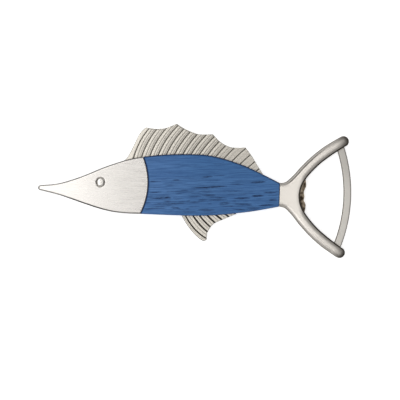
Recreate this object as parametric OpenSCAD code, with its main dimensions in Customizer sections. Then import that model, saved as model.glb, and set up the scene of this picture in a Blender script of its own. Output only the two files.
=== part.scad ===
// Fish-shaped bottle opener: a steel opener plate with cast fins let into its
// edges, faced on both sides with a metal head, an oak body and a metal tail fork.
// Frame: +X from nose to tail, +Y up the fish's back, +Z out of the face it shows.
// The origin is the centre of the resting footprint, on the resting plane.

/* [Overall] */
// Length from the nose to the outside of the tail bar
fish_length = 180; // [165:1:195]

/* [Layers] */
// Thickness of the opener plate and of both fins
plate_t = 2; // [1.6:0.1:2.4]
// Thickness of each oak scale
scale_t = 3; // [2.8:0.1:4]
// How far each head cheek stands below the face of the oak
head_step = 0.4; // [0.3:0.05:0.6]
// How far the fork's crest stands below the face of the oak
fork_step = 0; // [0:0.05:0.3]
// Gap along the seams between oak and metal
seam_gap = 0.15; // [0.1:0.05:0.3]

/* [Edges] */
// Rounding of the head cheeks' free edge
head_edge = 0.9; // [0.5:0.1:1.2]
// Rounding of the oak's free edge
scale_edge = 1.6; // [1:0.1:1.8]
// Sideways rounding of the fork's bars, which makes them half-round
fork_edge = 2.5; // [1.5:0.1:2.6]
// Flat wall left under the fork's rounding
fork_wall = 0.5; // [0.3:0.1:0.8]

/* [Fins] */
// Depth of the fins' roots inside the body
root_depth = 4.5; // [4:0.1:5]
// Gap between a fin's root and the plate
root_gap = 0.1; // [0.05:0.05:0.2]
// Distance from one dorsal ray to the next, at the back
ray_pitch = 4.65; // [4.5:0.05:4.8]
// Width of the grooves between dorsal rays
dorsal_groove_w = 0.5; // [0.4:0.05:0.8]
// Width of the grooves between anal rays
anal_groove_w = 0.7; // [0.5:0.05:0.9]
// Depth of the ray grooves on each side
groove_depth = 0.45; // [0.2:0.05:0.6]

/* [Pins] */
// Radius of the dowels through the plate
dowel_r = 1.5; // [1.2:0.1:1.6]
// Radius of the dowels through the fins' roots
fin_dowel_r = 1; // [0.8:0.1:1.1]
// Depth of the dowels' blind holes in the facing pieces
dowel_depth = 1.7; // [1.2:0.1:1.8]
// Radius of an eye stud's shank
eye_shank_r = 1.5; // [1.2:0.1:1.8]
// Radius of an eye stud's dome
eye_dome_r = 2.7; // [2.4:0.1:3]

/* [Opener] */
// Width of the tail bar
bar_w = 4.4; // [4:0.1:4.8]
// Thickness left at the edge of the lifting lip
lip_edge_t = 1.2; // [1:0.1:1.4]

/* [Hidden] */

design_length = 180;              // the length that every point below is drawn for
k = fish_length / design_length;
round_fn = 48;                    // sides given to bores, dowels and studs
seam_fn = 180;                    // sides given to the gill seam's large disc
spline_steps = 4;
edge_steps = 4;
over = 1;                         // how far a cut runs past the face that it leaves

head_t = scale_t - head_step;
fork_t = scale_t - fork_step;
mid_z = scale_t + plate_t / 2;    // the plate's middle plane over the resting plane

// Back and belly, from just behind the nose into the tail's root. Both lists have
// the same x values, so their points pair up across the fish.
back_points = k * [
    [1.5, 1.3], [11, 2.5], [19.5, 5.1], [27.5, 8.3], [35.5, 12], [43.5, 15.2],
    [51.5, 17.9], [59.5, 19.6], [71, 21.2], [81, 21.9], [89, 22.1], [97, 21.8],
    [106, 20.1], [116, 17.2], [126, 13.2], [138.8, 7.3], [146, 4]
];
belly_points = k * [
    [1.5, -1.7], [11, -3.7], [19.5, -6.2], [27.5, -8.7], [35.5, -11], [43.5, -12.6],
    [51.5, -13.2], [59.5, -13.2], [71, -13.3], [81, -13.3], [89, -13.2], [97, -12.8],
    [106, -12], [116, -10.7], [126, -9], [138.8, -6.2], [146, -4.6]
];
nose_centre = k * [1.5, -0.2];
nose_r = k * 1.5;
snout_x = k * 2;                  // where the nose's arc hands over to the back and belly
nose_from = 7.5;                  // degrees off the nose's own line where its arc starts
nose_to = 84;                     // and where it meets the back and belly
cheek_reach = k * 66;             // the head's slab is drawn this far, then cut at the gill
scale_start = k * 54;             // the oak's slab is drawn from here
scale_reach = k * 50;             // half the height of the block that ends the oak's slab
tang_end_x = k * 145;             // the plate's body ends here, inside the fork's root

// The gill seam is an arc of this disc, and the tail seam is straight.
gill_centre = k * [25, 3.8];
gill_r = k * 38;
tail_seam_x = k * 138.6;
tail_y = k * 0.6;                 // height of the tail's own middle line

// The fork's upper bar, over the tail's middle line: the outer and the inner edge
// pair up point by point from the root to the tip.
fork_outer_points = k * [
    [138.6, 6.7], [140.4, 7], [142.8, 8], [146.8, 12], [150.7, 16.7], [156.7, 22.9],
    [162.7, 28], [166.7, 30.8], [172.4, 34.4]
];
fork_inner_points = k * [
    [150.3, 0.6], [150.5, 2.2], [150.9, 4.4], [152.4, 7.9], [155.7, 12.6], [160.7, 18],
    [165.7, 22.2], [170.6, 25.8], [175.7, 29.3]
];
fork_tip = k * [174.2, 31.9];
fork_tip_r = k * 3.1;
tip_outer = [110, 38];            // degrees of the tip's round end, on the outer edge
tip_inner = [-46, 26];            // and on the inner edge
tip_steps = 5;

// The tail bar is a stretch of a ring. Its ends run in under the fork's tips.
bar_r = k * 85.5;
bar_centre = [k * design_length - bar_r, tail_y];
bar_half_angle = 20;
bar_steps = 40;

// The lifting lip: two corner teeth with a low one between them.
lip_points = k * [
    [148, -9.4], [153.6, -9.4], [154, -4.4], [152.8, -2.4], [153.2, 0.3],
    [152.8, 3], [154, 5], [153.6, 9.4], [148, 9.4]
];
lip_root_x = k * 150.8;           // where the lip's bevel starts
lip_tip_x = k * 154;
lip_half_w = k * 9;

// Fin outlines: each list is one smooth stretch from corner to corner.
dorsal_stretches = k * [
    [[46.8, 16.3], [50, 18.4], [53.2, 24.4], [56.9, 32.6], [60.4, 36.7]],
    [[60.4, 36.7], [66, 36], [72, 36.7], [78.2, 39.4]],
    [[78.2, 39.4], [83, 36.6], [90, 34], [95, 33.8], [99.2, 34.1]],
    [[99.2, 34.1], [103.5, 29.9], [109, 27.2], [114, 26.8], [118.2, 27.2]],
    [[118.2, 27.2], [122.3, 21.9], [126, 16.2], [129, 11.9]]
];
anal_stretches = k * [
    [[82.3, -13.3], [86, -19.2], [91, -24.6], [95.3, -27.3], [97.5, -26.6]],
    [[97.5, -26.6], [97.7, -22], [101, -17], [107, -14.1], [114, -11]]
];
peak_y = k * 39.4;                // top of the dorsal fin
low_y = tail_y - fork_tip.y - fork_tip_r;

// Dorsal rays lean back more from one to the next, and all of them bend back.
dorsal_rays = 17;
dorsal_first_x = k * 53.5;
dorsal_lean = [79.5, -2.4];       // degrees for the first ray, and the change per ray
dorsal_bend = [1.35, -0.045];     // degrees per millimetre, the same way
dorsal_ray_l = k * 26;
anal_ray_x = k * [84.8, 89.3, 92.8, 97.3, 102.5, 107.7];
anal_lean = [-64, 5.5];
anal_bend = [-1.8, 0.15];
anal_ray_l = k * 20;
ray_start = 1;                    // how far inside the body's line a ray's groove starts
ray_steps = 6;

// ---- curves ----

// One point of a Catmull-Rom curve between b and c.
function curve_point(a, b, c, d, t) =
    (2 * b + (c - a) * t + (2 * a - 5 * b + 4 * c - d) * t * t
     + (3 * b - a - 3 * c + d) * t * t * t) / 2;

// A smooth line through every point of p.
function curve(p) = let (last = len(p) - 1) concat(
    [for (i = [0 : last - 1], j = [0 : spline_steps - 1])
        curve_point(p[max(i - 1, 0)], p[i], p[i + 1], p[min(i + 2, last)], j / spline_steps)],
    [p[last]]
);

function arc(c, r, from, to, n) =
    [for (i = [0 : n]) let (a = from + (to - from) * i / n) c + r * [cos(a), sin(a)]];

function reverse(p) = [for (i = [len(p) - 1 : -1 : 0]) p[i]];

function between(p, from, to) = [for (q = p) if (q.x > from && q.x < to) q];

function unit(v) = v / norm(v);

// Moves each edge of a closed counter-clockwise outline inwards by d, except the
// edge numbered still, which stays in its line.
function inset(p, d, still) = let (n = len(p)) [for (i = [0 : n - 1])
    let (
        last = (i + n - 1) % n,
        u = unit(p[i] - p[last]),
        v = unit(p[(i + 1) % n] - p[i]),
        nu = [-u.y, u.x],
        nv = [-v.y, v.x]
    )
    last == still ? p[i] - d * u / cross(u, v)
        : i == still ? p[i] + d * v / cross(u, v)
        : p[i] + d * (nu + nv) / (1 + nu * nv)
];

// A point on a ray: it starts at p with the given lean and turns by bend per
// millimetre as it goes.
function ray_point(p, lean, bend, s) = p + (180 / (PI * bend)) *
    [sin(lean) - sin(lean - bend * s), cos(lean - bend * s) - cos(lean)];

back_line = curve(back_points);
belly_line = curve(belly_points);
function back_y(x) = lookup(x, back_line);
function belly_y(x) = lookup(x, belly_line);

nose_belly = arc(nose_centre, nose_r, 180 + nose_from, 180 + nose_to, tip_steps);
nose_back = arc(nose_centre, nose_r, 180 - nose_from, 180 - nose_to, tip_steps);

function tip_arc(angles) = arc(fork_tip, fork_tip_r, angles[0], angles[1], tip_steps);
fork_outer = concat(curve(fork_outer_points), tip_arc(tip_outer));
fork_inner = concat(curve(fork_inner_points), tip_arc(tip_inner));

// A line of the fork's upper half, carried on through its mirror image below.
function both_halves(p) = concat(
    [for (q = reverse(p)) [q.x, tail_y - q.y]],
    [for (q = p) [q.x, tail_y + q.y]]
);

// Middle of a dowel in a fin's root: side is 1 along the back, -1 along the belly.
// It lies a little past the root's middle, away from the oak's rounded edge.
fin_dowel_inset = 0.3;
function fin_dowel_at(x, side) =
    [x, (side > 0 ? back_y(x) : belly_y(x)) - side * (root_depth / 2 + fin_dowel_inset)];

// Dowel places: name, middle, radius, and the facing piece that covers the ends.
dowels = [
    ["head_dowel_nose", k * [21, -0.6], dowel_r, "head"],
    ["head_dowel_gill", k * [52, 2.5], dowel_r, "head"],
    ["scale_dowel_front", k * [72, 4.5], dowel_r, "scale"],
    ["scale_dowel_middle", k * [100, 4.5], dowel_r, "scale"],
    ["scale_dowel_rear", k * [127, 2], dowel_r, "scale"],
    ["dorsal_dowel_front", fin_dowel_at(k * 68, 1), fin_dowel_r, "scale"],
    ["dorsal_dowel_middle", fin_dowel_at(k * 92, 1), fin_dowel_r, "scale"],
    ["dorsal_dowel_rear", fin_dowel_at(k * 117, 1), fin_dowel_r, "scale"],
    ["anal_dowel_front", fin_dowel_at(k * 88, -1), fin_dowel_r, "scale"],
    ["anal_dowel_rear", fin_dowel_at(k * 105, -1), fin_dowel_r, "scale"],
    ["tail_dowel_root", [k * 144.5, tail_y], dowel_r, "fork"],
    ["tail_dowel_upper", [k * 163, tail_y + k * 24.5], dowel_r, "fork"],
    ["tail_dowel_lower", [k * 163, tail_y - k * 24.5], dowel_r, "fork"]
];

// The eye stud sits in a shallow round dish, and its dome stays inside the oak's face.
eye_at = k * [35.6, 4.2];
eye_clear = 0.15;
dish_depth = 0.5;
dome_below = 0.05;                // how far the dome's top stays under the oak's face
dome_h = dish_depth + head_step - dome_below;
dome_sphere_r = (eye_dome_r * eye_dome_r + dome_h * dome_h) / (2 * dome_h);

// ---- building blocks ----

// Sets the fish, drawn from the nose along the plate's middle plane, on its frame.
module place() translate([-k * design_length / 2, -(peak_y + low_y) / 2, mid_z]) children();

// front puts a piece on the plate's upper face, back on its lower one.
module front() place() translate([0, 0, plate_t / 2]) children();
module back() place() mirror([0, 0, 1]) translate([0, 0, plate_t / 2]) children();

// A slab with a rounded rim, between two lines of equal length that run from one
// end to the other along its right-hand and its left-hand side. across is the
// rounding's reach inwards, and down is its reach below the top. The edge numbered
// still keeps a plain upright wall.
module rounded_slab(right, left, t, across, down, still = -1) {
    n = len(right);
    m = 2 * n;
    outline = concat(right, reverse(left));
    rings = concat([[0, 0]], [for (j = [0 : edge_steps]) let (a = 90 * j / edge_steps)
        [across * (1 - cos(a)), t - down * (1 - sin(a))]]);
    points = [for (r = rings, p = inset(outline, r[0], still)) [p.x, p.y, r[1]]];
    top = (len(rings) - 1) * m;
    walls = [for (j = [0 : len(rings) - 2], i = [0 : m - 1], h = [0, 1])
        let (a = j * m + i, b = j * m + (i + 1) % m)
        h == 0 ? [a, a + m, b] : [b, a + m, b + m]];
    base = [for (i = [0 : n - 2], h = [0, 1])
        h == 0 ? [i, i + 1, m - 1 - i] : [i + 1, m - 2 - i, m - 1 - i]];
    crest = [for (c = base) [c[0] + top, c[2] + top, c[1] + top]];
    polyhedron(points, concat(walls, base, crest));
}

// Bores through the middle layer for all the dowels of radius r.
module dowel_bores(r) {
    for (d = dowels)
        if (d[2] == r)
            translate([d[1].x, d[1].y, -plate_t]) cylinder(r = r, h = 2 * plate_t, $fn = round_fn);
}

// Blind holes for the dowels that a facing piece covers.
module dowel_holes(piece) {
    for (d = dowels)
        if (d[3] == piece)
            translate([d[1].x, d[1].y, -over])
                cylinder(r = d[2], h = over + dowel_depth, $fn = round_fn);
}

module gill_disc(grow, t) {
    translate([gill_centre.x, gill_centre.y, -over])
        cylinder(r = gill_r + grow, h = t + 2 * over, $fn = seam_fn);
}

// A curved groove of width w along one ray, cut into both faces of a fin.
module ray_groove(start, lean, bend, length, w) {
    mid = [for (i = [0 : ray_steps]) ray_point(start, lean, bend, length * i / ray_steps)];
    side = [for (i = [0 : ray_steps]) let (a = lean - bend * length * i / ray_steps)
        w / 2 * [-sin(a), cos(a)]];
    for (s = [-1, 1])
        translate([0, 0, s > 0 ? plate_t / 2 - groove_depth : -plate_t / 2 - over])
            linear_extrude(groove_depth + over)
                polygon(concat(mid - side, reverse(mid + side)));
}

// A fin and the root that is let into the plate, before its rays are cut. grow
// widens the root, for the plate's own notch.
module fin_outline(stretches, side, grow) {
    edge = [for (s = stretches, p = curve(s)) p];
    first = edge[0].x - grow;
    last = edge[len(edge) - 1].x + grow;
    line = side > 0 ? back_line : belly_line;
    inner = concat([[first, lookup(first, line)]], between(line, first, last),
        [[last, lookup(last, line)]]);
    root = [for (p = inner) p - [0, side * (root_depth + grow)]];
    polygon(concat(edge, reverse(root)));
}

// ---- sub-parts ----

module plate_outline() {
    body = concat(
        nose_belly, between(belly_line, snout_x, tang_end_x),
        reverse(between(back_line, snout_x, tang_end_x)), reverse(nose_back));
    ring = concat(
        arc(bar_centre, bar_r, -bar_half_angle, bar_half_angle, bar_steps),
        arc(bar_centre, bar_r - bar_w, bar_half_angle, -bar_half_angle, bar_steps));
    polygon(body);
    polygon(concat(both_halves(fork_inner), reverse(both_halves(fork_outer))));
    polygon(ring);
    translate([0, tail_y]) polygon(lip_points);
}

module opener_plate() {
    bevel = plate_t - lip_edge_t;
    color("silver") place() difference() {
        translate([0, 0, -plate_t / 2]) linear_extrude(plate_t) difference() {
            plate_outline();
            fin_outline(dorsal_stretches, 1, root_gap);
            fin_outline(anal_stretches, -1, root_gap);
        }
        dowel_bores(dowel_r);
        translate([0, tail_y + lip_half_w, plate_t / 2]) rotate([90, 0, 0])
            linear_extrude(2 * lip_half_w) polygon([
                [lip_root_x, 0], [lip_tip_x, -bevel], [lip_tip_x + over, -bevel],
                [lip_tip_x + over, over], [lip_root_x, over]
            ]);
    }
}

module dorsal_fin() {
    color("gainsboro") place() difference() {
        translate([0, 0, -plate_t / 2]) linear_extrude(plate_t)
            fin_outline(dorsal_stretches, 1, 0);
        for (i = [0 : dorsal_rays - 1]) {
            x = dorsal_first_x + i * ray_pitch * k;
            ray_groove([x, back_y(x) - ray_start], dorsal_lean[0] + i * dorsal_lean[1],
                dorsal_bend[0] + i * dorsal_bend[1], dorsal_ray_l, dorsal_groove_w);
        }
        dowel_bores(fin_dowel_r);
    }
}

module anal_fin() {
    color("gainsboro") place() difference() {
        translate([0, 0, -plate_t / 2]) linear_extrude(plate_t)
            fin_outline(anal_stretches, -1, 0);
        for (i = [0 : len(anal_ray_x) - 1])
            ray_groove([anal_ray_x[i], belly_y(anal_ray_x[i]) + ray_start],
                anal_lean[0] + i * anal_lean[1], anal_bend[0] + i * anal_bend[1],
                anal_ray_l, anal_groove_w);
        dowel_bores(fin_dowel_r);
    }
}

module head_cheek() {
    belly_side = concat(nose_belly, between(belly_line, snout_x, cheek_reach));
    back_side = concat(nose_back, between(back_line, snout_x, cheek_reach));
    difference() {
        intersection() {
            rounded_slab(belly_side, back_side, head_t, head_edge, head_edge);
            gill_disc(0, head_t);
        }
        dowel_holes("head");
        translate([eye_at.x, eye_at.y, -over])
            cylinder(r = eye_shank_r, h = head_t + over, $fn = round_fn);
        translate([eye_at.x, eye_at.y, head_t - dish_depth])
            cylinder(r = eye_dome_r + eye_clear, h = dish_depth + over, $fn = round_fn);
    }
}

module eye_stud() {
    translate([eye_at.x, eye_at.y, 0]) {
        cylinder(r = eye_shank_r, h = head_t - dish_depth, $fn = round_fn);
        translate([0, 0, head_t - dish_depth]) intersection() {
            translate([0, 0, dome_h - dome_sphere_r]) sphere(r = dome_sphere_r, $fn = round_fn);
            cylinder(r = eye_dome_r, h = dome_h + over, $fn = round_fn);
        }
    }
}

module body_scale() {
    difference() {
        intersection() {
            rounded_slab(between(belly_line, scale_start, tang_end_x),
                between(back_line, scale_start, tang_end_x), scale_t, scale_edge, scale_edge);
            translate([0, -scale_reach, -over])
                cube([tail_seam_x - seam_gap, 2 * scale_reach, scale_t + 2 * over]);
        }
        gill_disc(seam_gap, scale_t);
        dowel_holes("scale");
    }
}

module tail_fork() {
    // The outline runs out along the inner edge's two halves and back along the outer
    // edge's, so this is the straight edge between the outer edge's halves.
    seam_edge = 3 * len(fork_outer) - 1;
    difference() {
        rounded_slab(both_halves(fork_inner), both_halves(fork_outer),
            fork_t, fork_edge, fork_t - fork_wall, seam_edge);
        dowel_holes("fork");
    }
}

// A straight steel pin through the plate or a fin's root, into both facing pieces.
module dowel(name) {
    half = plate_t / 2 + dowel_depth;
    color("dimgray") place() for (d = dowels)
        if (d[0] == name)
            translate([d[1].x, d[1].y, -half]) cylinder(r = d[2], h = 2 * half, $fn = round_fn);
}

module head_cheek_front() { color("whitesmoke") front() head_cheek(); }
module head_cheek_back() { color("whitesmoke") back() head_cheek(); }
module eye_stud_front() { color("silver") front() eye_stud(); }
module eye_stud_back() { color("silver") back() eye_stud(); }
module body_scale_front() { color("steelblue") front() body_scale(); }
module body_scale_back() { color("steelblue") back() body_scale(); }
module tail_fork_front() { color("lightgray") front() tail_fork(); }
module tail_fork_back() { color("lightgray") back() tail_fork(); }

opener_plate();
dorsal_fin();
anal_fin();
head_cheek_front();
head_cheek_back();
eye_stud_front();
eye_stud_back();
body_scale_front();
body_scale_back();
tail_fork_front();
tail_fork_back();
for (d = dowels)
    dowel(d[0]);
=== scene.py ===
import math

import bpy
import numpy as np
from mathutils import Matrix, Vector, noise


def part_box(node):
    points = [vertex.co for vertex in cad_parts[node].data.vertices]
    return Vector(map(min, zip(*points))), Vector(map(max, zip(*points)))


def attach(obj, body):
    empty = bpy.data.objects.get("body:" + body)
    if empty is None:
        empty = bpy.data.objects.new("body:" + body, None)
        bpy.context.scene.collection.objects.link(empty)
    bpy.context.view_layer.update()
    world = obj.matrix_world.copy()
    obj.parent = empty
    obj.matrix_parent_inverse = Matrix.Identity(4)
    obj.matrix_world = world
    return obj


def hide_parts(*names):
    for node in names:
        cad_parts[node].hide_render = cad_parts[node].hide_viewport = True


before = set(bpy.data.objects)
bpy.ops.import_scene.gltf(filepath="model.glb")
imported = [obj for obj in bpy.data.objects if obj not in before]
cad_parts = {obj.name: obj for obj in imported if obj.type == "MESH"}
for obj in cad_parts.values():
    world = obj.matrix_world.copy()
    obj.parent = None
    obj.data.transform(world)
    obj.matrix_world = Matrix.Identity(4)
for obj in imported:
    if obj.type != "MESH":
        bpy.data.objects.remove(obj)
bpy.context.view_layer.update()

scene = bpy.context.scene

# ---- Opener plate ----
# A 2 mm flat plate of stamped stainless steel that runs through the whole fish. Its edge shows all
# round, and the bar across the fork's tips and the scalloped lip in the fork's crotch are part of
# it. The lip is bevelled by hand, and painted shade keeps it dark.

# Shapes are drawn in millimetres from the nose along the plate's middle plane, as the maker's
# template is, and set on the frame here.
MM = 0.001
plate_low, plate_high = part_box("opener_plate")
FIN_TOP = (78.2, 39.4)
NOSE_X = plate_low.x
TEMPLATE_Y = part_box("dorsal_fin")[1].y - FIN_TOP[1] * MM
MIDDLE_Z = (plate_low.z + plate_high.z) / 2
PLATE_HALF = 1.0
# The fork is drawn about its own middle line, which lies this far above the nose's level.
TAIL_Y = 0.6
TAIL_SEAM, SEAM_HALF = 138.6, 6.7
NOSE_CENTRE, NOSE_R = (1.5, -0.2), 1.5

BACK = [
    (1.5, 1.3), (11, 2.5), (19.5, 5.1), (27.5, 8.3), (35.5, 12), (43.5, 15.2), (51.5, 17.9),
    (59.5, 19.6), (71, 21.2), (81, 21.9), (89, 22.1), (97, 21.8), (106, 20.1), (116, 17.2),
    (126, 13.2), (138.8, 7.3), (146, 4),
]
BELLY = [
    (1.5, -1.7), (11, -3.7), (19.5, -6.2), (27.5, -8.7), (35.5, -11), (43.5, -12.6),
    (51.5, -13.2), (59.5, -13.2), (71, -13.3), (81, -13.3), (89, -13.2), (97, -12.8),
    (106, -12), (116, -10.7), (126, -9), (138.8, -6.2), (146, -4.6),
]
FORK_OUTER = [
    (TAIL_SEAM, SEAM_HALF), (140.4, 7), (142.8, 8), (146.8, 12), (150.7, 16.7), (156.7, 22.9),
    (162.7, 28), (166.7, 30.8), (172.4, 34.4),
]
FORK_INNER = [
    (150.3, 0.6), (150.5, 2.2), (150.9, 4.4), (152.4, 7.9), (155.7, 12.6), (160.7, 18),
    (165.7, 22.2), (170.6, 25.8), (175.7, 29.3),
]
FORK_TIP, FORK_TIP_R = (174.2, 31.9), 3.1


def curve(points, steps=10):
    """A smooth line through every point."""
    p = np.array(points, float)
    out = []
    for i in range(len(p) - 1):
        a, b, c, d = p[max(i - 1, 0)], p[i], p[i + 1], p[min(i + 2, len(p) - 1)]
        for t in np.arange(steps) / steps:
            out.append((2 * b + (c - a) * t + (2 * a - 5 * b + 4 * c - d) * t**2
                        + (3 * b - a - 3 * c + d) * t**3) / 2)
    return np.array(out + [p[-1]])


def arc(centre, r, start, end, count):
    """Points along an arc, between two angles in degrees."""
    a = np.radians(np.linspace(start, end, count))
    return np.stack([centre[0] + r * np.cos(a), centre[1] + r * np.sin(a)], -1)


def outline_y(points, sign):
    """Height of the back (sign 1) or the belly (-1) at any x, nose included."""
    line = curve(points)

    def at(x):
        x = np.asarray(x, float)
        inside = np.clip(NOSE_R**2 - (x - NOSE_CENTRE[0]) ** 2, 0, None)
        nose = NOSE_CENTRE[1] + sign * np.sqrt(inside)
        return np.where(x < NOSE_CENTRE[0], nose, np.interp(x, line[:, 0], line[:, 1]))

    return at


back_y, belly_y = outline_y(BACK, 1), outline_y(BELLY, -1)


def columns(width, edge, middle):
    """Places across a strip of this width: the given distances in from each side, and evenly
    spaced ones between them. A narrow strip squeezes them."""
    edge = np.asarray(edge, float) * min(1, width / (2.2 * edge[-1]))
    inner = np.linspace(edge[-1], width - edge[-1], middle + 2)[1:-1]
    return np.concatenate([edge, inner, (width - edge)[::-1]]) / width


def strip(right, left, edge, middle):
    """A grid of points that fills the space between two lines of equal length."""
    rows = []
    for a, b in zip(right, left):
        t = columns(max(np.linalg.norm(b - a), 1e-3), edge, middle)[:, None]
        rows.append(a + (b - a) * t)
    return np.array(rows)


def distance(grid, *lines):
    """How far each point of a grid is from the nearest of these lines."""
    best = np.full(grid.shape[:2], 1e9)
    for line in lines:
        for a, b in zip(line[:-1], line[1:]):
            d = b - a
            t = np.clip(((grid - a) @ d) / max(d @ d, 1e-12), 0, 1)
            best = np.minimum(best, np.linalg.norm(grid - a - t[..., None] * d, axis=-1))
    return best


def fade(x, start, end):
    """0 before start and 1 past end, with a smooth change between them."""
    t = np.clip((x - start) / (end - start), 0, 1)
    return t * t * (3 - 2 * t)


def rounded(d, top, reach, drop):
    """Height at distance d from a rounded edge: top, less drop right at the edge."""
    s = np.clip(1 - d / reach, 0, 1)
    return top - drop * (1 - np.sqrt(1 - s**2))


def sew(name, parts, **paint):
    """One mesh of closed shells. Each part is a top and a bottom grid of x, y and height over the
    plate's middle plane. paint gives a value from 0 to 1 for each point of all the top grids,
    which a material reads by its name. The bottom grid gets the same values."""
    points, faces, values = [], [], {key: [] for key in paint}
    start = 0
    for index, (top, bottom) in enumerate(parts):
        n, m = top.shape[:2]
        points += [top.reshape(-1, 3), bottom.reshape(-1, 3)]
        for key in paint:
            values[key] += [paint[key][index].ravel()] * 2
        cell = start + np.arange(n * m).reshape(n, m)
        quads = np.stack([cell[:-1, :-1], cell[1:, :-1], cell[1:, 1:], cell[:-1, 1:]], -1)
        quads = quads.reshape(-1, 4)
        rim = np.concatenate([cell[0, :-1], cell[:-1, -1], cell[-1, :0:-1], cell[:0:-1, 0]])
        rim = np.stack([rim, np.roll(rim, -1)], -1)
        walls = np.concatenate([rim, rim[:, ::-1] + n * m], 1)
        faces += [quads, (quads + n * m)[:, ::-1], walls]
        start += 2 * n * m
    points = np.concatenate(points) * MM + (NOSE_X, TEMPLATE_Y, MIDDLE_Z)
    mesh = bpy.data.meshes.new(name)
    mesh.from_pydata(points.tolist(), [], np.concatenate(faces).tolist())
    for key in paint:
        layer = mesh.attributes.new(key, "FLOAT", "POINT")
        layer.data.foreach_set("value", np.concatenate(values[key]).astype(np.float32))
    mesh.validate()
    mesh.shade_smooth()
    mesh.set_sharp_from_angle(angle=math.radians(50))
    piece = bpy.data.objects.new(name, mesh)
    scene.collection.objects.link(piece)
    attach(piece, "root")
    return piece


def hex_colour(code):
    """An sRGB hex value as the linear colour that a shader takes."""
    rgb = [int(code[i:i + 2], 16) / 255 for i in (1, 3, 5)]
    return [c / 12.92 if c <= 0.04045 else ((c + 0.055) / 1.055) ** 2.4 for c in rgb] + [1]


def add(material, kind, links=None, **settings):
    """Adds a shader node. links gives its inputs, each a value or another node's socket."""
    made = material.node_tree.nodes.new("ShaderNode" + kind)
    for key, value in settings.items():
        setattr(made, key, value)
    for key, value in (links or {}).items():
        if isinstance(value, bpy.types.NodeSocket):
            material.node_tree.links.new(value, made.inputs[key])
        else:
            made.inputs[key].default_value = value
    return made


def new_material(name):
    """A material with an empty node tree."""
    material = bpy.data.materials.new(name)
    material.use_nodes = True
    material.node_tree.nodes.clear()
    return material


def maths(material, operation, a, b=0.0, clamp=False):
    """The result of a sum on one or two values."""
    return add(material, "Math", {0: a, 1: b}, operation=operation, use_clamp=clamp).outputs[0]


def span(material, value, low, high, to_low=0.0, to_high=1.0, **settings):
    """A value rescaled, so that low becomes to_low and high becomes to_high."""
    links = {"Value": value, "From Min": low, "From Max": high, "To Min": to_low, "To Max": to_high}
    return add(material, "MapRange", links, **settings).outputs["Result"]


def blend(material, factor, a, b, **settings):
    """Colour a, turned into colour b as factor goes from 0 to 1."""
    mix = add(material, "Mix", {"Factor": factor, "A": a, "B": b}, data_type="RGBA", **settings)
    return mix.outputs["Result"]


def streaks(material, place, size, detail, roughness=0.5):
    """Noise with cells of this size in mm along x, y and z."""
    cells = add(material, "Mapping", {"Vector": place, "Scale": [1 / (side * MM) for side in size]})
    links = {"Vector": cells.outputs["Vector"], "Scale": 1.0, "Detail": detail, "Roughness": roughness}
    return add(material, "TexNoise", links).outputs["Fac"]


def painted(material, name):
    """The value that sew gave each point of the mesh under this name."""
    return add(material, "Attribute", attribute_name=name).outputs["Fac"]


def levelness(material):
    """1 on a level face, 0 on an upright wall."""
    normal = add(material, "SeparateXYZ", {"Vector": add(material, "NewGeometry").outputs["Normal"]})
    return maths(material, "ABSOLUTE", normal.outputs["Z"])


def satin_metal(name, bright, dark, roughness, streak, grit, paint="", flank=(0.9, 0.45), relief=0.02):
    """Pale metal with a satin face and painted shade, which darkens steep flanks and where paint
    says, and is left off the crowns and weakened on the upright walls. streak is the polishing
    lines' length and spacing in mm, grit the size of the metal's grain, flank the levelness where
    the painted shade starts and where it is full, and relief how deep lines and grain are."""
    m = new_material(name)
    place = add(m, "TexCoord").outputs["Object"]
    lines = streaks(m, place, (*streak, 1), 4.0, 0.6)
    grain = streaks(m, place, (grit, grit, grit), 3.0, 0.55)
    cloud = streaks(m, place, (9, 9, 9), 3.0)
    level = levelness(m)
    # Painted shade: dark on steep flanks and where paint says, mottled by the grain and weaker on upright
    # walls.
    shade = span(m, level, *flank, interpolation_type="SMOOTHSTEP")
    if paint:
        shade = maths(m, "MAXIMUM", shade, painted(m, paint))
    shade = maths(m, "MULTIPLY", shade, span(m, grain, 0, 1, 0.82, 1.1))
    shade = maths(m, "MULTIPLY", shade, span(m, level, 0.02, 0.12, 0.4), clamp=True)
    tone = maths(m, "MULTIPLY", span(m, lines, 0.3, 0.7, 0.975), span(m, cloud, 0.3, 0.7, 0.96))
    face = add(m, "VectorMath", {0: hex_colour(bright)[:3], "Scale": tone}, operation="SCALE")
    rough = span(m, lines, 0.3, 0.7, roughness - 0.05, roughness + 0.07)
    rough = add(m, "Mix", {"Factor": shade, "A": rough, "B": 0.6}, data_type="FLOAT").outputs["Result"]
    texture = maths(m, "ADD", lines, grain)
    bump = add(m, "Bump", {"Height": texture, "Strength": 0.25, "Distance": relief * MM})
    shader = add(m, "BsdfPrincipled", {
        "Base Color": blend(m, shade, face.outputs["Vector"], hex_colour(dark)), "Metallic": 1.0,
        "Roughness": rough, "Normal": bump.outputs["Normal"]})
    add(m, "OutputMaterial", {"Surface": shader.outputs["BSDF"]})
    return m


def resample(line, count):
    """The same line with this many evenly spaced points."""
    along = np.concatenate([[0], np.cumsum(np.linalg.norm(np.diff(line, axis=0), axis=1))])
    want = np.linspace(0, along[-1], count)
    return np.stack([np.interp(want, along, line[:, 0]), np.interp(want, along, line[:, 1])], -1)


def both_halves(upper, middle):
    """A line round the fork: the lower half, what lies between, and the upper half."""
    line = np.concatenate([upper[::-1] * (1, -1), middle, upper])
    return line + (0, TAIL_Y)


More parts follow.
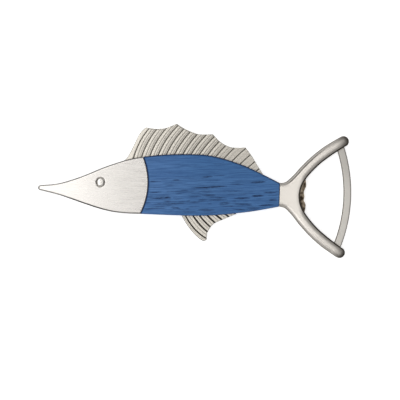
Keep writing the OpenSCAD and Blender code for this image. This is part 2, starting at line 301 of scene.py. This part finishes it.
# The crotch faces the seam with the body, and each lobe's mouth side faces its outer side.
CROTCH = 4.4
LOBE_ROWS, CROSS_ROWS = 180, 24
outer_half = np.concatenate([curve(FORK_OUTER), arc(FORK_TIP, FORK_TIP_R, 118, 32.3, 14)])
outer_half = resample(outer_half, LOBE_ROWS)
inner_half = np.concatenate([curve(FORK_INNER), arc(FORK_TIP, FORK_TIP_R, -54, 31.7, 14)])
crotch = inner_half[inner_half[:, 1] < CROTCH]
inner_half = resample(inner_half[inner_half[:, 1] >= CROTCH], LOBE_ROWS)
crotch = resample(np.concatenate([crotch[::-1] * (1, -1), crotch[1:]]), CROSS_ROWS)[1:-1]
seam = np.linspace((TAIL_SEAM, -SEAM_HALF), (TAIL_SEAM, SEAM_HALF), CROSS_ROWS)[1:-1]
fork_outer, fork_inner = both_halves(outer_half, seam), both_halves(inner_half, crotch)
fork_sides = fork_outer[:LOBE_ROWS], fork_outer[-LOBE_ROWS:]

PLATE_EDGE = (0, 0.03, 0.1, 0.2, 0.3)


def plate_layer(grid, *free_edges, half=PLATE_HALF, soft=0.25):
    """A flat piece of the plate, alike on both faces, with its free edges broken."""
    z = rounded(distance(grid, *free_edges), half, soft, soft * 0.8)[..., None]
    return np.concatenate([grid, z], -1), np.concatenate([grid, -z], -1)


def round_nose(count):
    """Stations from just inside the nose's tip to its full width."""
    return NOSE_R - (NOSE_R - 0.001) * np.cos(np.linspace(0, math.pi / 2, count))


tang_x = np.concatenate([round_nose(12), np.linspace(2, 145, 144)])
tang_low = np.stack([tang_x, belly_y(tang_x)], -1)
tang_high = np.stack([tang_x, back_y(tang_x)], -1)
BAR_R, BAR_W = 85.5, 4.4
bar_centre = (180 - BAR_R, TAIL_Y)
bar_outer = arc(bar_centre, BAR_R, -20, 20, 80)
bar_inner = arc(bar_centre, BAR_R - BAR_W, -20.4, 20.4, 80)
LIP = [
    (153.6, -9.4), (154, -6.8), (153.9, -4.7), (152.9, -2.6), (153.2, -0.4), (152.8, 2), (153.4, 4),
    (154, 6), (153.6, 9.4),
]
lip_edge = curve(LIP, 8) + (0, TAIL_Y)
lip_root = lip_edge * (0, 1) + (147.5, 0)
# Where two layers overlap, one is a hair thinner, so that no two faces lie in one plane.
HAIR = 0.01
tang_grid = strip(tang_low, tang_high, PLATE_EDGE, 6)
tang = plate_layer(tang_grid, tang_low, tang_high, half=PLATE_HALF - HAIR)
web = plate_layer(strip(fork_inner, fork_outer, PLATE_EDGE, 4), fork_inner, *fork_sides)
bar_grid = strip(bar_outer, bar_inner, PLATE_EDGE, 8)
bar = plate_layer(bar_grid, bar_outer, bar_inner, half=PLATE_HALF - HAIR, soft=0.5)
lip_grid = strip(lip_root, lip_edge, (0, 0.2, 0.4), 22)
from_edge = distance(lip_grid, lip_edge)
slope = np.clip((lip_grid[..., 0] - 150) / 3.6, 0, 1)
dents = np.array([[noise.noise((x * 0.5, y * 0.55, 3.0)) for x, y in row] for row in lip_grid])
lip_top = rounded(from_edge, PLATE_HALF - 2 * HAIR, 0.5, 0.3) - 0.75 * slope**1.3
lip_top += 0.22 * dents * np.minimum(slope * 3, 1)
lip_low = -rounded(from_edge, PLATE_HALF - 2 * HAIR, 0.4, 0.2)
lip = tuple(np.concatenate([lip_grid, z[..., None]], -1) for z in (lip_top, lip_low))

# Painted shade: the bar darkens along both edges and towards its ends under the lobes. The lip gets
# painted shade in the crotch's recess, mottled by the dents, with less on its upper part as a painted
# highlight. Tang and web get an even 0.3 all over.
bar_shade = np.maximum(0.85 * (1 - fade(distance(bar_grid, bar_outer, bar_inner), 0.15, 0.55)),
                      0.14 * fade(bar_grid[..., 1], 4, 18))
lip_shade = 0.62 + 1.4 * dents - 0.25 * fade(lip_grid[..., 1], 1.5, 4)
plate_shades = [np.full(layer[0].shape[:2], 0.3) for layer in (tang, web)] + [bar_shade, lip_shade]
plate = sew("opener_plate_stamped", (tang, web, bar, lip), antiquing=plate_shades)
# Stamped stainless steel, tumbled: a warm grey satin, with painted shade along its cut edges.
plate.data.materials.append(satin_metal(
    "steel_tumbled", "#D2CEC7", "#3A342D", 0.42, (6, 0.5), 0.3,
    paint="antiquing", flank=(0.75, -0.6)))
# The same metal, brown at the lip: dull and mottled, with painted shade in the crotch's recess and a
# painted highlight on its upper part.
plate.data.materials.append(satin_metal(
    "steel_lip_brown_painted_shade", "#C0B09A", "#44372B", 0.5, (1.5, 0.6), 0.5,
    paint="antiquing", flank=(0.5, 0.1)))
lip_start = sum(2 * top[..., 0].size for top, _ in (tang, web, bar))
for polygon in plate.data.polygons:
    polygon.material_index = int(polygon.vertices[0] >= lip_start)
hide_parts("opener_plate")

# ---- Dorsal and anal fin ----
# Cast pewter fins, 2 mm thick, with their roots let into notches in the plate. The rays are
# modelled in the casting: a cut groove, a bright crest behind it and a slope down to the next,
# with painted shade in the grooves and down the slopes.


def ray(start, lean, bend, s):
    """Points along a ray that leaves start at lean degrees and bends back as it goes."""
    a = np.radians(lean)
    b = np.radians(lean - bend * s)
    r = math.degrees(1) / bend
    return np.stack([start[0] + r * (np.sin(a) - np.sin(b)),
                     start[1] + r * (np.cos(b) - np.cos(a))], -1)


def where_crossed(path, line):
    """How far along a path, from 0 to 1, it first crosses a line, and which place on the line. A
    path that doesn't cross it ends where it starts."""
    best = (0.0, len(line) - 1.0)
    for i in range(len(path) - 1):
        p, d = path[i], path[i + 1] - path[i]
        e = line[1:] - line[:-1]
        w = line[:-1] - p
        det = d[0] * e[:, 1] - d[1] * e[:, 0]
        det = np.where(np.abs(det) < 1e-12, 1e-12, det)
        t = (w[:, 0] * e[:, 1] - w[:, 1] * e[:, 0]) / det
        u = (w[:, 0] * d[1] - w[:, 1] * d[0]) / det
        hit = np.where((t >= 0) & (t <= 1) & (u >= 0) & (u <= 1))[0]
        if len(hit):
            j = hit[np.argmin(t[hit])]
            return (i + t[j]) / (len(path) - 1), j + u[j]
    return best


def ribbed_fin(stretches, ray_at, last_ray, length, root, profile):
    """The fin as two strips of points: the rim in front of the first ray, and the rays behind it.
    Each comes with its place across the rays, counted in rays."""
    edge = np.concatenate([curve(s, 12) for s in stretches])
    per_ray, along = 30, 46
    place = np.linspace(0, last_ray, int(last_ray * per_ray) + 1)
    rows, cut = [], None
    for u in place:
        start, lean, bend = ray_at(u)
        path = ray(start, lean, bend, np.linspace(0, length, 120))
        share, at = where_crossed(path, edge)
        cut = at if cut is None else cut
        rows.append(ray(start, lean, bend, np.linspace(-root, max(share * length, 0.05), along)))
    rays = np.array(rows)
    whole = int(cut)
    corner = edge[whole] + (edge[whole + 1] - edge[whole]) * (cut - whole)
    front = resample(np.concatenate([edge[:whole + 1], [corner]]), along)
    across = np.linspace(0, 1, 13)
    rim = front + (rays[0] - front) * across[:, None, None]
    grids = [rim, rays]
    places = [np.repeat(across[:, None] - 1, along, 1), np.repeat(place[:, None], along, 1)]
    shells, darks = [], []
    for grid, u in zip(grids, places):
        z, dark = profile(u, grid)
        z = np.minimum(z, rounded(distance(grid, edge), PLATE_HALF, 0.5, 0.45))
        shells.append([np.concatenate([grid, face[..., None]], -1) for face in (z, -z)])
        darks.append(dark)
    return shells, darks


DORSAL = [
    [(46.8, 16.3), (50, 18.4), (53.2, 24.4), (56.9, 32.6), (60.4, 36.7)],
    [(60.4, 36.7), (66, 36), (72, 36.7), FIN_TOP],
    [FIN_TOP, (83, 36.6), (90, 34), (95, 33.8), (99.2, 34.1)],
    [(99.2, 34.1), (103.5, 29.9), (109, 27.2), (114, 26.8), (118.2, 27.2)],
    [(118.2, 27.2), (122.3, 21.9), (126, 16.2), (129, 11.9)],
]
DORSAL_FIRST, DORSAL_PITCH = 53.8, 4.69


def dorsal_ray(u):
    x = DORSAL_FIRST + DORSAL_PITCH * u
    return (x, float(back_y(x)) - 1), 79.5 - 2.4 * u, 1.35 - 0.045 * u


def dorsal_profile(u, grid):
    """Height and painted shade across the dorsal rays. The front ones are deep, with two fine lines
    each. The rear ones are shallow and plain."""
    f = np.mod(u, 1)
    near = np.minimum(f, 1 - f) * DORSAL_PITCH
    front = 1 - fade(u, 8, 12)
    groove = np.exp(-(near / (0.22 + 0.12 * front)) ** 2)
    fine = sum(depth * np.exp(-((f - at) * DORSAL_PITCH / 0.2) ** 2)
               for at, depth in ((0.47, 1), (0.76, 0.7)))
    fine *= 0.15 + 0.85 * front
    slope = fade(f, 0.15, 0.75)
    rim = u < 0
    z = PLATE_HALF - 0.05 - 0.4 * groove - np.where(rim, 0, 0.14 * slope + 0.1 * fine)
    # Painted shade in the grooves, on the fine lines and down each slope, and more over the middle and
    # rear rays.
    rear_shade = 0.1 * np.exp(-((u - 6.5) / 4) ** 2) + 0.2 * fade(u, 7.5, 11.5)
    shade = 0.66 * groove + np.where(rim, 0.05, (0.04 + 0.08 * front) * slope + 0.6 * fine + rear_shade)
    return z, np.clip(shade, 0, 1)


# Sand-cast pewter, wire-brushed: dull warm grey ribs, with painted shade that makes the grooves
# near-black.
pewter = satin_metal("pewter_cast_painted_shade", "#E5DFD4", "#2B2721", 0.4, (4, 0.35), 0.35,
                    paint="antiquing", flank=(0.8, 0.3))
shells, darks = ribbed_fin(DORSAL, dorsal_ray, 16.2, 26, 1.5, dorsal_profile)
dorsal = sew("dorsal_fin_cast", shells, antiquing=darks)
dorsal.data.materials.append(pewter)
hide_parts("dorsal_fin")

ANAL = [
    [(82.8, -13.3), (86.5, -19.1), (91.4, -24.5), (95.4, -27.3), (97.8, -26.8)],
    [(97.8, -26.8), (98.1, -22.4), (101.4, -17.5), (107.3, -14.5), (114.4, -11.2)],
]
ANAL_PITCH = 4.2
ANAL_STARTS = (84.4, 89, 92.5, 96.8, 101.8, 107, 112.2, 116)


def anal_ray(u):
    x = float(np.interp(u, range(len(ANAL_STARTS)), ANAL_STARTS))
    return (x, float(belly_y(x)) + 1), -64 + 5.5 * u, -1.8 + 0.15 * u


def anal_profile(u, grid):
    """Height and painted shade across the anal rays: flat ribs and wide grooves, dark with painted shade.
    """
    f = np.mod(u, 1)
    near = np.minimum(f, 1 - f) * ANAL_PITCH
    groove = 1 / (1 + np.exp((near - 0.44) / 0.07))
    fine = np.exp(-((f - 0.55) * ANAL_PITCH / 0.3) ** 2)
    z = PLATE_HALF - 0.05 - 0.45 * groove - 0.1 * fine
    return z, np.clip(0.95 * groove + 0.3 * fine + 0.12, 0, 1)


shells, darks = ribbed_fin(ANAL, anal_ray, 6.2, 24, 1.5, anal_profile)
anal = sew("anal_fin_cast", shells, antiquing=darks)
anal.data.materials.append(pewter)
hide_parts("anal_fin")

# ---- Head cheeks ----
# Two facings of rolled stainless steel, 2.6 mm thick, pinned and glued to the plate. Their free
# edge is rounded over and darkened with painted shade, and the face is brushed from nose to gill.

HEAD_T, HEAD_EDGE = 2.6, 0.9
GILL_CENTRE, GILL_R, GILL_FOOT = (25, 3.8), 38, 59.0
EYE_AT, DISH_R, DISH_DEPTH = (35.7, 4.2), 2.85, 0.5


def gill_x(y, grow=0):
    """Where the gill seam is at any height."""
    return GILL_CENTRE[0] + np.sqrt((GILL_R + grow) ** 2 - (y - GILL_CENTRE[1]) ** 2)


def facing_grid(x, edge, middle, bend):
    """A grid between belly and back. x is the stations' places, and bend moves a station's
    points along the fish, so that an end follows its seam."""
    low, high = belly_y(x), back_y(x)
    t = np.array([columns(max(b - a, 1e-3), edge, middle) for a, b in zip(low, high)])
    xs = np.repeat(x[:, None], t.shape[1], 1)
    for _ in range(6):
        ys = belly_y(xs) + (back_y(xs) - belly_y(xs)) * t
        xs = x[:, None] + bend(x[:, None], ys)
    return np.stack([xs, ys], -1)


def lay_facing(grid, z, side):
    """Top and bottom grids of a facing on the front (side 1) or the back (-1) of the plate."""
    top = np.concatenate([grid, side * (PLATE_HALF + z)[..., None]], -1)
    seat = np.concatenate([grid, np.full(z.shape, side * PLATE_HALF)[..., None]], -1)
    return top, seat


head_end = float(gill_x(belly_y(GILL_FOOT)))
head_x = np.concatenate([round_nose(14), np.linspace(1.8, head_end, 200)])
head_grid = facing_grid(head_x, (0, 0.02, 0.07, 0.15, 0.26, 0.4, 0.6, 0.8, 1.0), 90,
                        lambda x, y: fade(x, 34, head_end) * (gill_x(y) - head_end))
head_line = [np.stack([head_x, f(head_x)], -1) for f in (belly_y, back_y)]
head_z = rounded(distance(head_grid, *head_line), HEAD_T, HEAD_EDGE, HEAD_EDGE)
from_gill = gill_x(head_grid[..., 1]) - head_grid[..., 0]
head_z = np.minimum(head_z, rounded(from_gill, HEAD_T, 0.35, 0.3))
from_belly, from_back = (distance(head_grid, line) for line in head_line)
# Painted shade along the rounded belly and back edges, weaker towards the nose, and a grey spot of
# painted shade on the nose tip.
belly_shade = (1 - 0.3 * fade(head_grid[..., 0], 34, 50)) * (1 - fade(from_belly, 0.5, 1.05))
head_shade = np.maximum(belly_shade, 0.95 * (1 - fade(from_back, 0.25, 0.75)))
head_shade *= 0.5 + 0.5 * fade(head_grid[..., 0], 8, 24)
head_shade = np.maximum(head_shade, 0.7 * (1 - fade(head_grid[..., 0], 0.6, 1.4)))
# The dish is a little narrower along the fish than across it, as the stud is.
from_eye = np.linalg.norm((head_grid - EYE_AT) * (1.1, 1), axis=-1)
head_z -= DISH_DEPTH * (1 - fade(from_eye, DISH_R - 0.15, DISH_R + 0.15))
# Rolled stainless steel, brushed with a fine belt: a bright satin with faint lines along the fish.
brushed = satin_metal("steel_brushed", "#DEDAD5", "#2B2825", 0.27, (14, 0.22), 0.12,
                     paint="antiquing", flank=(0.8, 0.4), relief=0.004)
for name, side in (("front", 1), ("back", -1)):
    cheek = sew("head_cheek_%s_brushed" % name, [lay_facing(head_grid, head_z, side)],
                antiquing=[head_shade])
    cheek.data.materials.append(brushed)
    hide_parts("head_cheek_" + name)

# ---- Eye studs ----
# A domed steel stud pressed into a dish in each cheek, with a thin bezel that closes the dish's
# rim. The dark line between dome and bezel is painted shade.

EYE_RX, EYE_RY, DOME_RISE, STUD_FOOT = 2.25, 2.7, 0.75, 1.6
# Radius as a share of the dome's, height over the dish's floor, and how much painted shade is there.
EYE_PROFILE = [(math.sin(a), DOME_RISE * math.cos(a), 0.0) for a in np.radians(np.arange(0, 81, 8))]
EYE_PROFILE += [
    (1.0, 0.05, 1.0), (1.05, 0.05, 1.0), (1.07, 0.4, 0.7), (1.09, 0.52, 0.2), (1.12, 0.52, 0.2),
    (1.14, 0.42, 0.5),
]
around = np.radians(np.linspace(0, 360, 73))
for name, side in (("front", 1), ("back", -1)):
    rows, shade = [], []
    for r, z, shaded in EYE_PROFILE:
        r = max(r, 0.004)
        z = np.full(around.shape, side * (PLATE_HALF + HEAD_T - DISH_DEPTH + z))
        rows.append(np.stack([EYE_AT[0] + EYE_RX * r * np.cos(around),
                              EYE_AT[1] + EYE_RY * r * np.sin(around), z], -1))
        shade.append(np.full(around.shape, shaded))
    dome = np.array(rows)
    seat = dome.copy()
    seat[..., 2] = side * (PLATE_HALF + STUD_FOOT)
    eye = sew("eye_stud_%s_domed" % name, [(dome, seat)], antiquing=[np.array(shade)])
    # Stainless steel, polished on a mop: the brightest metal on the fish, with painted shade on the
    # dome's steep sides and in the ring.
    eye.data.materials.append(satin_metal(
        "steel_polished", "#E4E0DA", "#2E2A26", 0.27, (3, 0.5), 0.4,
        paint="antiquing", flank=(0.25, 0.05)))
    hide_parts("eye_stud_" + name)

# ---- Oak body scales ----
# Two 3 mm facings of oak, stained denim blue and oiled. The grain runs from head to tail and
# climbs a little towards the tail, and the open pores hold the stain darker.

SCALE_T, SCALE_EDGE, SEAM_GAP = 3.0, 1.6, 0.15
GRAIN_TILT = math.radians(4)
# The boldest pores: middle x and y, length, width and darkness.
PORES = [
    (98, 3.4, 21, 0.9, 1.0), (66, 5.6, 9, 0.55, 0.7), (79, 6.9, 4, 0.8, 0.6),
    (97, 9.4, 6, 0.8, 0.8), (104, 10.4, 7, 0.45, 0.5), (126, 7.4, 9, 0.9, 0.9),
    (114, 5.8, 8, 0.55, 0.6), (67, -0.6, 8, 0.6, 0.7), (70, -3.9, 12, 0.6, 0.8),
    (74.5, -3.2, 4, 0.9, 0.8), (98, -1.1, 8, 0.9, 0.8), (90, -2.2, 8, 0.6, 0.6),
    (77, -6.7, 18, 0.65, 0.75), (103, -3.6, 11, 0.7, 0.7), (117, -2.2, 10, 0.8, 0.8),
    (126, -0.4, 7, 0.9, 0.9), (93, -4.8, 14, 0.45, 0.55), (62, -6.8, 6, 0.5, 0.6),
    (107, -5.8, 7, 0.8, 0.7), (131, -5.6, 9, 0.8, 0.8), (118, -5.4, 10, 0.7, 0.7),
    (79, -8.8, 5, 0.7, 0.7), (66, -9.8, 11, 0.6, 0.55), (98, -9.6, 8, 0.9, 0.6),
    (124, -8, 8, 0.6, 0.6), (87, -11, 9, 0.6, 0.5), (133, 1.6, 7, 0.7, 0.8),
    (135, -2.6, 5, 0.8, 0.7), (84, 1.2, 5, 0.5, 0.5), (112, 1.5, 7, 0.5, 0.5),
]
scale_start = float(gill_x(belly_y(GILL_FOOT), SEAM_GAP))
scale_x = np.linspace(scale_start, TAIL_SEAM - SEAM_GAP, 300)
scale_grid = facing_grid(
    scale_x, (0, 0.03, 0.1, 0.2, 0.35, 0.55, 0.8, 1.1, 1.4, 1.7), 104,
    lambda x, y: fade(x, 84, scale_start) * (gill_x(y, SEAM_GAP) - scale_start))
scale_line = [np.stack([scale_x, f(scale_x)], -1) for f in (belly_y, back_y)]
# The edge lines start a little before the gill, where the corners of the seam lie.
scale_line = [np.concatenate([[line[0] - (3, 0)], line]) for line in scale_line]
shape_z = rounded(distance(scale_grid, *scale_line), SCALE_T, SCALE_EDGE, SCALE_EDGE)
from_gill = scale_grid[..., 0] - gill_x(scale_grid[..., 1], SEAM_GAP)
from_seam = TAIL_SEAM - SEAM_GAP - scale_grid[..., 0]
shape_z = np.minimum(shape_z, rounded(np.minimum(from_gill, from_seam), SCALE_T, 0.2, 0.15))
# Painted shade: dark lines in the gill and tail seams and along the back edge, fainter along the belly
# edge.
edge_stain = np.maximum.reduce([
    0.9 * (1 - fade(from_gill, 0.3, 0.85)), 0.7 * (1 - fade(from_seam, 0.1, 0.45)),
    0.95 * (1 - fade(distance(scale_grid, scale_line[1]), 0.4, 1.0)),
    0.4 * (1 - fade(distance(scale_grid, scale_line[0]), 0.2, 0.7)),
])


def along_grain(x, y):
    """Places along and across the grain."""
    c, s = math.cos(GRAIN_TILT), math.sin(GRAIN_TILT)
    return x * c + y * s, y * c - x * s


def wander(x, y, seed):
    """How the grain strays sideways."""
    return noise.noise((x * 0.06, y * 0.25, seed))


def grain_marks(grid, bold, seed):
    """How deep the wood's pores are at each point, from 0 to 1: the bold ones given, and many
    fine ones, which thin out towards the back."""
    along, across = along_grain(grid[..., 0], grid[..., 1])
    stray = np.array([[wander(x, y, seed) for x, y in row] for row in grid])
    depth = np.zeros(grid.shape[:2])
    rng = np.random.default_rng(seed)
    marks = list(bold)
    for _ in range(190):
        x, y = rng.uniform(60, 138), rng.triangular(-13, -7, 19)
        length, width = rng.uniform(2, 9), rng.uniform(0.3, 0.5)
        marks.append((x, y, length, width, rng.uniform(0.15, 0.55) * (1.5 - fade(y, -4, 6))))
    for x, y, length, width, strength in marks:
        start, level = along_grain(x, y)
        a = along - start
        b = across - level + 0.5 * (stray - wander(x, y, seed))
        taper = np.clip(1 - (2 * a / length) ** 2, 0, 1)
        half = 0.62 * width * (0.3 + 0.7 * taper)
        depth = np.maximum(depth, strength * taper**0.3 * np.exp(-(b / half) ** 4))
    return depth


# How much painted light lightens the stain's colour, and painted shade darkens it.
LIT_TINT, SHADED_TINT = (1.3, 1.18, 1.12, 1), (0.84, 0.94, 0.94, 1)


def oak(name):
    """Oak with a denim-blue stain and an oil finish: a soft blue with darker, broken pores and
    fine fibres, and a low, broken shine. Painted shade darkens its steep edges and the seams and
    edges that sew marks, and painted light and shade make the stain lighter or darker as sew marks."""
    m = new_material(name)
    place = add(m, "TexCoord").outputs["Object"]
    turned = add(m, "Mapping", {"Vector": place, "Rotation": (0, 0, -GRAIN_TILT)}).outputs["Vector"]
    fibre = streaks(m, turned, (12, 0.45, 3), 5.0, 0.62)
    band = streaks(m, turned, (60, 5, 6), 2.0)
    fleck = streaks(m, turned, (2.5, 0.25, 1), 3.0, 0.7)
    pore = span(m, fleck, 0.38, 0.58, 0.3, 1.35)
    pore = maths(m, "MULTIPLY", pore, painted(m, "pores"), clamp=True)
    pore = maths(m, "MAXIMUM", pore, span(m, fleck, 0.6, 0.72, 0, 0.35))
    body = add(m, "ValToRGB", {"Fac": fibre})
    low, high = body.color_ramp.elements
    low.position, low.color = 0.36, hex_colour("#2E598F")
    high.position, high.color = 0.64, hex_colour("#5583BD")
    body = blend(m, span(m, band, 0.3, 0.7, 0, 0.5), body.outputs["Color"], hex_colour("#3B6AA6"))
    # Painted light and shade: the stain is made lighter or darker as sew marks it.
    painted_tint = blend(m, painted(m, "pale"), SHADED_TINT, LIT_TINT)
    body = blend(m, 1.0, body, painted_tint, blend_type="MULTIPLY")
    # Painted shade on the steep rounded edges and along the seams and edges that sew marks.
    dark = maths(m, "MAXIMUM", painted(m, "edge_stain"), span(m, levelness(m), 0.85, 0.3, 0, 0.75))
    dark = maths(m, "MAXIMUM", dark, pore, clamp=True)
    height = maths(m, "SUBTRACT", fibre, pore)
    bump = add(m, "Bump", {"Height": height, "Strength": 0.35, "Distance": 0.08 * MM})
    shader = add(m, "BsdfPrincipled", {
        "Base Color": blend(m, dark, body, hex_colour("#06244C")),
        "Roughness": span(m, fibre, 0.3, 0.7, 0.44, 0.6),
        "IOR": 1.45, "Specular IOR Level": 0.3, "Normal": bump.outputs["Normal"]})
    add(m, "OutputMaterial", {"Surface": shader.outputs["BSDF"]})
    return m


# Painted light and shade: the stain is lighter behind the gill, on the side of the brighter softbox, and
# darker towards the tail and along the middle of the back.
pale = 1 - 0.65 * fade(scale_grid[..., 0], 58, 96)
pale -= 0.35 * fade(scale_grid[..., 0], 74, 98) * fade(scale_grid[..., 1], 2, 16)
stained_oak = oak("oak_stained_blue_oiled")
# The back has the same bold pores, turned over about this height.
TURN_Y = 3
back_pores = [(x, 2 * TURN_Y - y, *rest) for x, y, *rest in PORES]
PORE_DEPTH = 0.12
for name, side, bold, seed in (("front", 1, PORES, 7), ("back", -1, back_pores, 19)):
    pores = grain_marks(scale_grid, bold, seed)
    shells = [lay_facing(scale_grid, shape_z - PORE_DEPTH * pores, side)]
    scale = sew("body_scale_%s_oak" % name, shells, pores=[pores], edge_stain=[edge_stain], pale=[pale])
    scale.data.materials.append(stained_oak)
    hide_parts("body_scale_" + name)

# ---- Tail fork facings ----
# Two half-round facings of cast stainless steel, pinned to the plate. They are buffed along the
# crest, and painted shade darkens the flanks and round the tips.

FORK_T, FORK_ACROSS, FORK_DROP = 3.0, 3.3, 1.6
FORK_EDGE = (0, 0.03, 0.1, 0.2, 0.35, 0.55, 0.8, 1.0, 1.15, 1.3, 1.45, 1.65, 1.9, 2.3, 2.8)
fork_grid = strip(fork_inner, fork_outer, FORK_EDGE, 10)
from_mouth = distance(fork_grid, fork_inner)
from_outer = distance(fork_grid, *fork_sides)
at_crotch = 1 - fade(np.abs(fork_grid[..., 1] - TAIL_Y), 5, 13)
crisp = rounded(from_mouth, FORK_T, 0.9, 0.8)
soft = rounded(from_mouth, FORK_T, FORK_ACROSS, FORK_DROP)
fork_z = np.minimum.reduce([
    rounded(from_outer, FORK_T, FORK_ACROSS, FORK_DROP), soft * (1 - at_crotch) + crisp * at_crotch,
    rounded(fork_grid[..., 0] - TAIL_SEAM, FORK_T, 0.25, 0.2),
])
# A ledge along the outer edge of the upper lobe's root, where the mould's halves met.
from_back = distance(fork_grid, fork_sides[1])
ledge = (1 - fade(fork_grid[..., 0], 156, 168)) * fade(fork_grid[..., 0], 141, 145)
ledge *= fork_grid[..., 1] > TAIL_Y
fork_z -= 0.25 * ledge * (1 - fade(from_back, 1.0, 1.6))
# Painted shade on the tips, along the mouth, on the outer edge and in the ledge's corner.
upper_tip, lower_tip = (np.linalg.norm(fork_grid - tip, axis=-1) for tip in ((177.6, 33), (177.3, -33.2)))
tip_d = np.minimum(0.86 * upper_tip, lower_tip)
towards_tip = fade(fork_grid[..., 0], 156, 168)
fork_shade = np.maximum.reduce([
    (1 - fade(tip_d, 1.5, 9.5)) * (1 - 0.4 * fade(np.minimum(from_mouth, from_outer), 0.3, 2.6)),
    1 - fade(from_mouth, 0.7, 1.25),
    (0.2 + 0.2 * towards_tip) * (1 - fade(from_mouth, 0.8, 2.8)),
    0.09 * towards_tip,
    0.9 * (1 - fade(from_outer, 0.2, 0.55)),
    0.2 * (1 - ledge) * (1 - fade(from_outer, 0.6, 1.6)),
    0.95 * ledge * np.exp(-((from_back - 1.35) / 0.3) ** 2),
])
# Cast stainless steel, buffed: a bright crest between flanks darkened with painted shade.
buffed = satin_metal("steel_buffed", "#E5DFD7", "#261E14", 0.34, (9, 0.4), 0.3,
                     paint="antiquing", flank=(0.6, 0.15))
for name, side in (("front", 1), ("back", -1)):
    fork = sew("tail_fork_%s_buffed" % name, [lay_facing(fork_grid, fork_z, side)],
               antiquing=[fork_shade])
    fork.data.materials.append(buffed)
    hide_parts("tail_fork_" + name)

# ---- Dowels ----
# Thirteen drawn steel pins hold the layers together, sealed inside.

# Drawn steel, as cut from the rod: mid grey with lengthwise die lines.
drawn = satin_metal("steel_drawn", "#8E8E90", "#3C3C3E", 0.38, (0.2, 5), 0.1, flank=(-0.2, -0.1))
for name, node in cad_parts.items():
    if "_dowel_" in name:
        node.data.materials.clear()
        node.data.materials.append(drawn)

# ---- Floor, light and camera ----
# A white sweep, lit from above through two level diffusers, as small goods are.

floor_mesh = bpy.data.meshes.new("floor")
FLOOR_REACH, FLOOR_GAP = 3.0, 0.2 * MM
corners = [(x * FLOOR_REACH, y * FLOOR_REACH, 0) for x, y in ((-1, -1), (1, -1), (1, 1), (-1, 1))]
floor_mesh.from_pydata(corners, [], [(0, 1, 2, 3)])
floor = bpy.data.objects.new("floor", floor_mesh)
floor.location.z = -FLOOR_GAP
scene.collection.objects.link(floor)
# Matt white paper, lit to the same white all over.
paper = new_material("paper_white_matt")
fibres = add(paper, "TexNoise", {"Scale": 900.0, "Detail": 2.0})
shader = add(paper, "BsdfPrincipled", {
    "Base Color": span(paper, fibres.outputs["Fac"], 0, 1, 0.9, 0.94), "Roughness": 0.9,
    "Emission Color": (1, 1, 1, 1), "Emission Strength": 0.6})
add(paper, "OutputMaterial", {"Surface": shader.outputs["BSDF"]})
floor_mesh.materials.append(paper)

world = bpy.data.worlds.new("studio")
scene.world = world
world.use_nodes = True
# The room is pale at the level of the table and dim overhead, between the two diffusers.
way = add(world, "TexCoord").outputs["Generated"]
height = add(world, "SeparateXYZ", {"Vector": way}).outputs["Z"]
background = world.node_tree.nodes["Background"]
background.inputs["Color"].default_value = (1, 1, 1, 1)
world.node_tree.links.new(span(world, height, 0.15, 0.95, 0.75, 0.06), background.inputs["Strength"])


def softbox(name, x_from, x_to, depth, height, radiance):
    """A diffuser lying level over the table, as bright as radiance."""
    light = bpy.data.lights.new(name, "AREA")
    light.shape, light.size, light.size_y = "RECTANGLE", x_to - x_from, depth
    light.energy = radiance * math.pi * (x_to - x_from) * depth
    lamp = bpy.data.objects.new(name, light)
    lamp.location = ((x_from + x_to) / 2, 0, height)
    scene.collection.objects.link(lamp)


softbox("softbox_left", -0.8, -0.13, 1.2, 1.0, 2.0)
softbox("softbox_right", 0.02, 0.38, 1.2, 1.0, 1.4)

LENS, SENSOR, VIEW_WIDTH, ROLL = 100, 36, 0.2301, 2.05
view_x, view_y, view_z = NOSE_X + 93.1 * MM, TEMPLATE_Y - 4.0 * MM, MIDDLE_Z + PLATE_HALF * MM
camera = bpy.data.objects.new("camera", bpy.data.cameras.new("camera"))
camera.data.lens, camera.data.sensor_width = LENS, SENSOR
camera.location = (view_x, view_y, view_z + VIEW_WIDTH * LENS / SENSOR)
camera.rotation_euler = (0, 0, math.radians(ROLL))
scene.collection.objects.link(camera)
scene.camera = camera
scene.view_settings.view_transform = "Standard"
